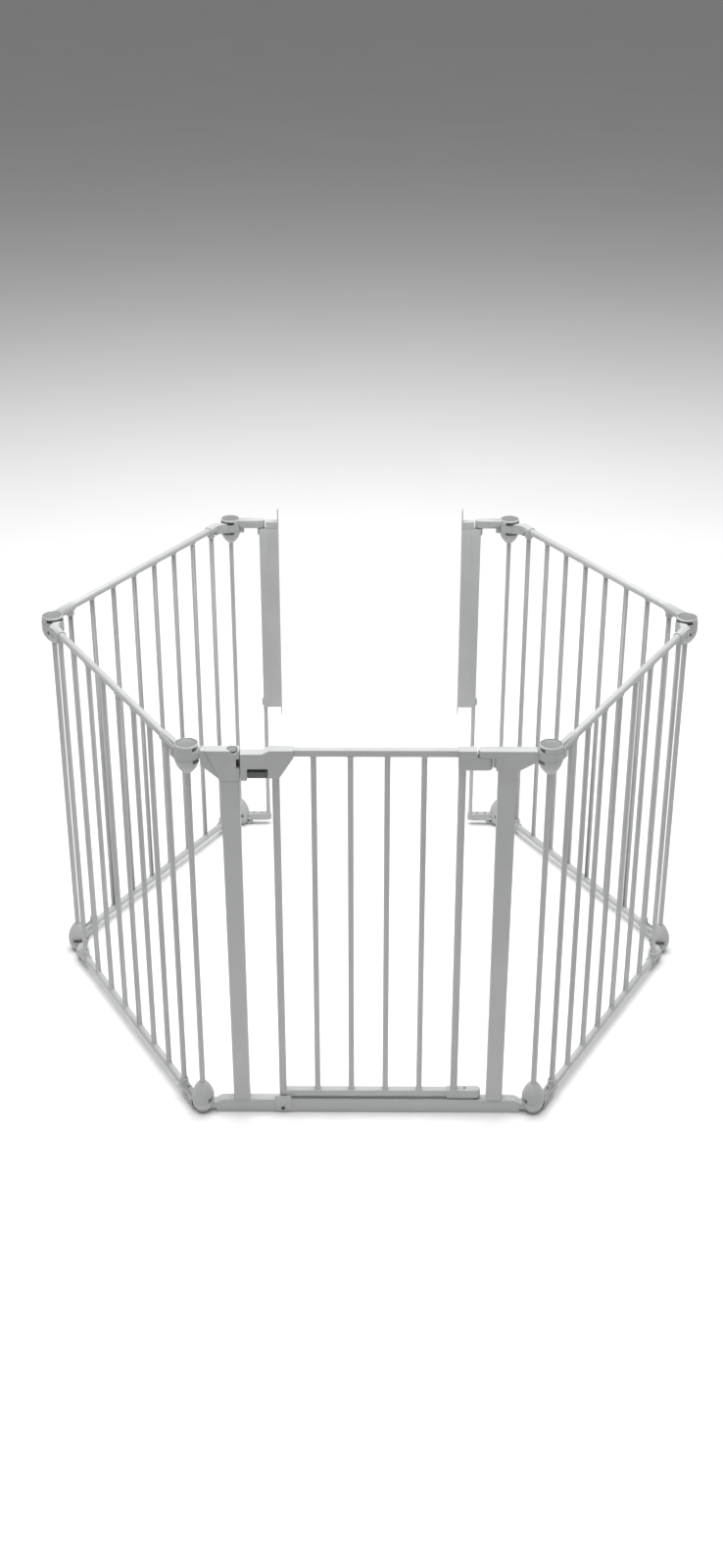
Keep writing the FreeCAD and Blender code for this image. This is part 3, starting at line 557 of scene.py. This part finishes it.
@dataclass
class Screws:
    """Cross-head screws, sunk in the plastic sockets and wall arms.

    Attributes:
        wardrobe: The finishes.
        head_r_mm: Radius of the head.
        head_mm: Height of the head.
        slot_mm: Width of the cross.
    """

    wardrobe: Wardrobe
    head_r_mm: float = 2.3
    head_mm: float = 1.3
    slot_mm: float = 0.75

    def pattern(self) -> bpy.types.Object:
        """One screw head at the origin, with its cross on +Z."""
        bpy.ops.object.select_all(action="DESELECT")
        bpy.ops.mesh.primitive_cylinder_add(vertices=32, radius=self.head_r_mm * MM,
                                            depth=self.head_mm * MM,
                                            location=(0, 0, 0.5 * self.head_mm * MM))
        head = settle(bpy.context.active_object)
        bpy.ops.object.mode_set(mode="EDIT")
        rim = 0.9 * self.head_mm * MM
        pick(head, "EDGE", lambda edge: all(vert.co.z > rim for vert in edge.verts))
        bpy.ops.mesh.bevel(offset=0.45 * self.head_mm * MM, segments=4, affect="EDGES")
        bpy.ops.object.mode_set(mode="OBJECT")
        for turn in (0.0, 90.0):
            bpy.ops.object.select_all(action="DESELECT")
            bpy.ops.mesh.primitive_cube_add(size=1.0, location=(0, 0, self.head_mm * MM))
            bar = bpy.context.active_object
            bar.scale = (1.25 * self.head_r_mm * MM, self.slot_mm * MM, self.head_mm * MM)
            bar.rotation_euler = (0.0, 0.0, math.radians(turn))
            settle(bar)
            cut = head.modifiers.new("cross", "BOOLEAN")
            cut.operation = "DIFFERENCE"
            cut.solver = "EXACT"
            cut.object = bar
            select_only(head)
            bpy.ops.object.modifier_apply(modifier=cut.name)
            bpy.data.objects.remove(bar)
        bpy.ops.object.shade_smooth_by_angle(angle=math.radians(30))
        return head

    def build(self, name: str, body: str, seats: list[tuple[Vector, Vector]]) -> None:
        """Places heads on their seats.

        Args:
            name: Name of the joined piece.
            body: CAD body it rides on.
            seats: For each screw, the seat's centre and the way the head faces.
        """
        pattern = self.pattern()
        heads = []
        for place, facing in seats:
            turn = facing.to_track_quat("Z", "Y").to_matrix().to_4x4()
            heads.append(twin(pattern, Matrix.Translation(place) @ turn))
        bpy.data.objects.remove(pattern)
        piece = joined(name, heads)
        # The heads' near-black finish is partly painted shade: it darkens the sunk holes that they
        # sit in.
        self.wardrobe.dress(piece, "plated_steel")
        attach(piece, body)
        LOG.info("screws %s: %d heads", name, len(heads))


@dataclass
class Trim:
    """Small turned and ribbed pieces.

    Attributes:
        wardrobe: The finishes.
    """

    wardrobe: Wardrobe

    def push_button(self, node: str, body: str, rim_mm: float, dish_mm: float) -> None:
        """Turns a round button with a rolled edge and a shallow dish, in place of its node.

        Args:
            node: The CAD node that it stands for.
            body: CAD body it rides on.
            rim_mm: Width of the rim round the dish.
            dish_mm: How deep the dish goes.
        """
        low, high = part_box(node)
        radius = 0.5 * (high.x - low.x)
        bpy.ops.object.select_all(action="DESELECT")
        bpy.ops.mesh.primitive_cylinder_add(vertices=72, radius=radius, depth=high.z - low.z,
                                            location=(low + high) / 2)
        button = settle(bpy.context.active_object)
        bpy.ops.object.mode_set(mode="EDIT")
        pick(button, "EDGE", lambda edge: all(vert.co.z > high.z - 1e-5 for vert in edge.verts))
        bpy.ops.mesh.bevel(offset=0.9 * MM, segments=4, affect="EDGES")
        pick(button, "FACE", lambda face: face.normal.z > 0.99 and len(face.verts) > 8)
        bpy.ops.mesh.inset(thickness=rim_mm * MM, depth=0.0)
        bpy.ops.mesh.inset(thickness=0.5 * MM, depth=-0.15 * MM)
        bpy.ops.mesh.inset(thickness=3.0 * MM, depth=-0.6 * dish_mm * MM)
        bpy.ops.mesh.inset(thickness=2.0 * MM, depth=-0.3 * dish_mm * MM)
        bpy.ops.mesh.inset(thickness=1.0 * MM, depth=-0.1 * dish_mm * MM)
        bpy.ops.object.mode_set(mode="OBJECT")
        bpy.ops.object.shade_smooth_by_angle(angle=math.radians(35))
        button.name = f"{node}_cap"
        self.wardrobe.dress(button, "button_plastic")
        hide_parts(node)
        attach(button, body)

    def ribs(self, trigger_low: Vector, trigger_high: Vector, count: int = 6) -> None:
        """Grip ribs across the underside of the trigger.

        Args:
            trigger_low: The trigger's lowest corner.
            trigger_high: Its highest corner.
            count: How many ribs.
        """
        bpy.ops.object.select_all(action="DESELECT")
        length = (trigger_high.y - trigger_low.y) - 5 * MM
        bpy.ops.mesh.primitive_cylinder_add(vertices=16, radius=0.7 * MM, depth=length,
                                            rotation=(math.pi / 2, 0, 0))
        rib = settle(bpy.context.active_object)
        bpy.ops.object.mode_set(mode="EDIT")
        pick(rib, "EDGE", lambda edge: abs(abs(edge.verts[0].co.y) - length / 2) < TOUCH
             and abs(edge.verts[0].co.y - edge.verts[1].co.y) < TOUCH)
        bpy.ops.mesh.bevel(offset=0.35 * MM, segments=3, affect="EDGES")
        bpy.ops.object.mode_set(mode="OBJECT")
        bpy.ops.object.shade_smooth()
        span = trigger_high.x - trigger_low.x
        middle = (trigger_low.y + trigger_high.y) / 2
        spots = [Vector((trigger_low.x + span * (step + 1) / (count + 1), middle, trigger_low.z))
                 for step in range(count)]
        piece = joined("trigger_grip_ribs", [twin(rib, Matrix.Translation(spot)) for spot in spots])
        bpy.data.objects.remove(rib)
        self.wardrobe.dress(piece, "trigger_plastic")
        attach(piece, "trigger_bar")

    def bush(self, name: str, body: str, place: Vector, bore_mm: float, outer_mm: float,
             height_mm: float) -> None:
        """A plain plastic ring, such as the one the drop bolt runs through.

        Args:
            name: The piece's name.
            body: CAD body it rides on.
            place: Centre of its underside.
            bore_mm: Radius of the hole.
            outer_mm: Outer radius.
            height_mm: Its height.
        """
        bpy.ops.object.select_all(action="DESELECT")
        bpy.ops.mesh.primitive_cylinder_add(vertices=40, radius=outer_mm * MM, depth=height_mm * MM,
                                            end_fill_type="NGON",
                                            location=place + Vector((0, 0, 0.5 * height_mm * MM)))
        ring = settle(bpy.context.active_object)
        bpy.ops.object.mode_set(mode="EDIT")
        pick(ring, "FACE", lambda face: abs(face.normal.z) > 0.9)
        bpy.ops.mesh.inset(thickness=(outer_mm - bore_mm) * MM, depth=0.0)
        bpy.ops.mesh.bridge_edge_loops()
        pick(ring, "EDGE", lambda edge: edge.calc_face_angle(0.0) > 1.0)
        bpy.ops.mesh.bevel(offset=0.3 * MM, segments=2, affect="EDGES")
        bpy.ops.mesh.select_all(action="SELECT")
        bpy.ops.mesh.normals_make_consistent(inside=False)
        bpy.ops.object.mode_set(mode="OBJECT")
        bpy.ops.object.shade_smooth_by_angle(angle=math.radians(35))
        ring.name = name
        self.wardrobe.dress(ring, "grey_plastic")
        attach(ring, body)

    def strip_bead(self, side: str, web_low: Vector, web_high: Vector) -> None:
        """The pressed line down the middle of a wall strip's web.

        Args:
            side: "left" or "right".
            web_low: The strip's lowest corner.
            web_high: Its highest corner.
        """
        length = (web_high.z - web_low.z) - 80 * MM
        bpy.ops.object.select_all(action="DESELECT")
        bpy.ops.mesh.primitive_cylinder_add(vertices=16, radius=1.1 * MM, depth=length)
        bead = settle(bpy.context.active_object)
        bpy.ops.object.mode_set(mode="EDIT")
        pick(bead, "EDGE", lambda edge: abs(edge.verts[0].co.z - edge.verts[1].co.z) < TOUCH)
        bpy.ops.mesh.bevel(offset=0.6 * MM, segments=3, affect="EDGES")
        bpy.ops.mesh.select_all(action="SELECT")
        bpy.ops.transform.resize(value=(1.6, 0.5, 1.0))
        bpy.ops.object.mode_set(mode="OBJECT")
        bpy.ops.object.shade_smooth()
        middle = Vector(((web_low.x + web_high.x) / 2, web_low.y + 0.1 * MM,
                         (web_low.z + web_high.z) / 2))
        middle.z -= 10 * MM
        bead.data.transform(Matrix.Translation(middle))
        bead.name = f"{side}_strip_bead"
        self.wardrobe.dress(bead, "painted_steel")
        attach(bead, f"{side}_wall_strip_body")


@dataclass
class Details:
    """Adds every small piece, in its place on its section.

    Attributes:
        wardrobe: The finishes.
        rail_offset_mm: How far rails stand outward of the knuckle line.
        socket_r_mm: Radius of a lower socket.
        rail_low_mm: Height of the lower rail's middle.
        arm_top_mm: Height of a lower wall arm's top.
        sunk_mm: How deep a screw's seat lies.
        arm_screws_mm: Where a wall arm's screws stand, along the arm.
        top_screw_mm: Where a socket's upright screw stands, along the section.
        side_screw_mm: Where its level screw stands.
        bush_mm: Bore radius, outer radius and height of the drop bolt's bush.
    """

    wardrobe: Wardrobe
    rail_offset_mm: float = 12.0
    socket_r_mm: float = 9.4
    rail_low_mm: float = 20.6
    arm_top_mm: float = 28.6
    sunk_mm: float = 3.4
    arm_screws_mm: tuple[float, ...] = (32.0, 50.0)
    top_screw_mm: float = 38.0
    side_screw_mm: float = 30.0
    bush_mm: tuple[float, float, float] = (3.15, 6.3, 1.4)

    def build(self, all_sections: list[Section]) -> None:
        """Adds welds, screws, buttons, ribs, bush and beads.

        Args:
            all_sections: The six jointed sections.
        """
        welds, screws, trim = WeldBeads(self.wardrobe), Screws(self.wardrobe), Trim(self.wardrobe)
        up = Vector((0.0, 0.0, 1.0))
        for part in all_sections:
            if part.name.endswith("wall"):
                top = self.arm_top_mm - self.sunk_mm
                seats = [(part.point(at, 0.0, top), up) for at in self.arm_screws_mm]
            else:
                bars = bpy.data.objects[f"{part.name}_bars_skin"]
                welds.build(bars, f"{part.name}_welds", part.body, slice(1, -1))
                deep = self.socket_r_mm - self.sunk_mm
                side = self.rail_offset_mm + deep
                seat_z = self.rail_low_mm + deep
                seats = [(part.point(self.top_screw_mm, self.rail_offset_mm, seat_z), up),
                         (part.point(self.side_screw_mm, side, self.rail_low_mm), part.outward)]
            screws.build(f"{part.name}_socket_screws", part.body, seats)
            trim.push_button(f"{part.name}_button", f"{part.name}_button_body", 2.4, 0.9)
        welds.build(bpy.data.objects["door_bars_skin"], "door_welds", "door", slice(None))
        trim.push_button("thumb_button", "thumb_button_body", 1.2, 0.5)
        trim.ribs(*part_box("trigger"))
        bolt_low, bolt_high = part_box("drop_bolt")
        stile_low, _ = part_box("door_stiles")
        centre = (bolt_low + bolt_high) / 2
        underside = Vector((centre.x, centre.y, stile_low.z - self.bush_mm[2] * MM))
        trim.bush("drop_bolt_bush", "door", underside, *self.bush_mm)
        for side in ("left", "right"):
            trim.strip_bead(side, *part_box(f"{side}_wall_strip"))


# ---- stage, light and camera -----------------------------------------------------------
@dataclass(frozen=True)
class Studio:
    """Pale floor, soft lights and the camera.

    Attributes:
        eye: The camera's place.
        tilt_deg: Its turn up from looking straight down.
        turn_deg: Its turn about the vertical.
        lens_mm: Its focal length.
        floor_half: Half the floor's width.
    """

    eye: tuple = (0.0052, -2.7768, 2.1443)
    tilt_deg: float = 62.10
    turn_deg: float = 0.35
    lens_mm: float = 43.33
    floor_half: float = 20.0

    def build(self) -> None:
        """Makes floor, lights, sky and camera."""
        self.floor()
        self.lamp("overhead_softbox", (0.0, 0.9, 4.2), (0.0, 0.5, 0.0), 4.5, 300.0)
        self.lamp("front_softbox", (-1.6, -3.6, 2.4), (0.0, 0.2, 0.4), 2.4, 8.0)
        world = bpy.data.worlds.new("studio_air")
        world.use_nodes = True
        world.node_tree.nodes["Background"].inputs["Color"].default_value = linear("#FFFFFF")
        world.node_tree.nodes["Background"].inputs["Strength"].default_value = 0.2
        bpy.context.scene.world = world
        bpy.context.scene.view_settings.view_transform = "Standard"
        self.camera()

    def floor(self) -> None:
        """A wide pale floor with a faint unevenness."""
        bpy.ops.object.select_all(action="DESELECT")
        bpy.ops.mesh.primitive_grid_add(x_subdivisions=8, y_subdivisions=8,
                                        size=2 * self.floor_half, location=(0, 6.0, 0))
        floor = settle(bpy.context.active_object)
        floor.name = "studio_floor"
        material = bpy.data.materials.new("pale_matt_floor")
        material.use_nodes = True
        tree = material.node_tree
        tree.nodes.clear()
        place = add_node(tree, "ShaderNodeTexCoord", {}, {}).outputs["Object"]
        noise = add_node(tree, "ShaderNodeTexNoise", {"Scale": 1.5, "Detail": 2.0},
                         {"Vector": place})
        ramp = add_node(tree, "ShaderNodeValToRGB", {}, {"Fac": noise.outputs["Fac"]})
        ramp.color_ramp.elements[0].color = linear("#F2F2F2")
        ramp.color_ramp.elements[1].color = linear("#F7F7F7")
        shader = add_node(tree, "ShaderNodeBsdfPrincipled", {"Roughness": 0.9, "IOR": 1.3},
                          {"Base Color": ramp.outputs["Color"]})
        add_node(tree, "ShaderNodeOutputMaterial", {}, {"Surface": shader.outputs["BSDF"]})
        floor.data.materials.append(material)

    def lamp(self, name: str, place: tuple, aim: tuple, size: float, watts: float) -> None:
        """Adds one square soft light.

        Args:
            name: The light's name.
            place: Where it hangs.
            aim: The point it faces.
            size: Side length.
            watts: Power.
        """
        data = bpy.data.lights.new(name, "AREA")
        data.size = size
        data.energy = watts
        lamp = bpy.data.objects.new(name, data)
        lamp.location = place
        lamp.rotation_euler = (Vector(aim) - Vector(place)).to_track_quat("-Z", "Y").to_euler()
        bpy.context.scene.collection.objects.link(lamp)

    def camera(self) -> None:
        """Adds the camera and makes it the scene's own."""
        data = bpy.data.cameras.new("studio_camera")
        data.lens = self.lens_mm
        data.sensor_width = 36.0
        camera = bpy.data.objects.new("studio_camera", data)
        camera.location = self.eye
        camera.rotation_euler = (math.radians(self.tilt_deg), 0.0, math.radians(self.turn_deg))
        bpy.context.scene.collection.objects.link(camera)
        bpy.context.scene.camera = camera


def main() -> None:
    """Builds the gate's looks in order."""
    logging.basicConfig(level=logging.INFO)
    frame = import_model()
    record = frame["record"]
    bodies = {node: body for body, nodes in record["behaviour"]["bodies"].items() for node in nodes}
    slots = {part["node"]: part["material_slot"] for part in record["subparts"]}
    Studio().build()
    wardrobe = Wardrobe()
    wardrobe.open()
    Skins(frame["nodes"], bodies, slots, wardrobe).build()
    Details(wardrobe).build(sections(frame["joints"]))


if __name__ == "__main__":
    main()
